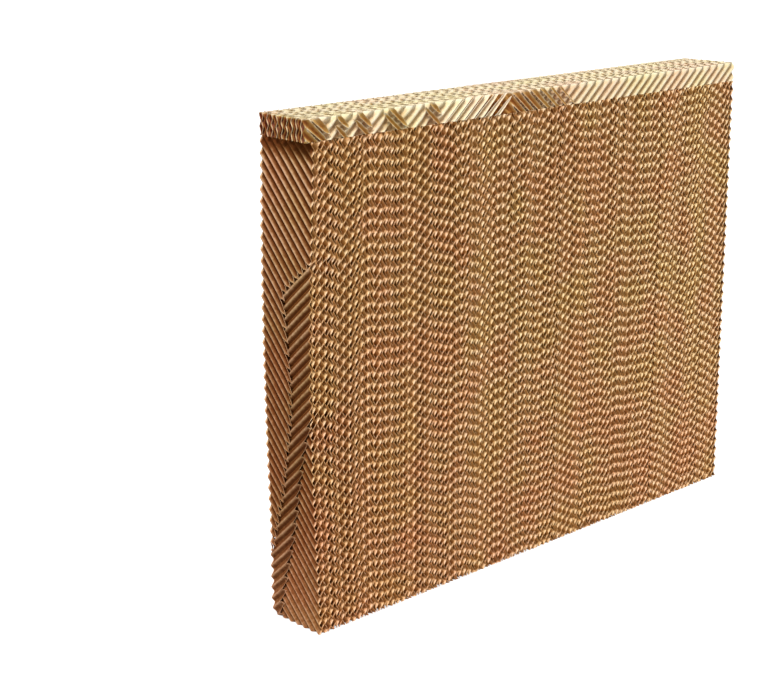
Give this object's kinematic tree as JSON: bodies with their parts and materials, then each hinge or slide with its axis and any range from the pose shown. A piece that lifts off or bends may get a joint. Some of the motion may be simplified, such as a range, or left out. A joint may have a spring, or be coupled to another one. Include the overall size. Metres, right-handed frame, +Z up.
{
  "type": "evaporative cooler pad",
  "caption": "Upright block of crossed fluted kraft-paper sheets with a shallow fluted spreader strip along its top edge, for wetting and cooling air.",
  "frame": {"origin": "middle of the base, at the centre of the bounding box's bottom face", "axes": "+X along the width, to the right as seen from the front; +Y from the front face to the back face (depth, shortest); +Z up, spreader strip on top"},
  "size_m": [0.9214, 0.0998, 0.7021],
  "materials": {
    "block_paper": "matt resin-stiffened kraft paper, brown, lighter on cut edges",
    "spreader_paper": "matt resin-stiffened kraft paper, golden brown"
  },
  "bodies": {
    "root": {"block_core": "block_paper", "block_sheets_rising": "block_paper", "block_sheets_falling": "block_paper", "spreader_core": "spreader_paper", "spreader_sheets_rising": "spreader_paper", "spreader_sheets_falling": "spreader_paper"}
  },
  "joints": []
}
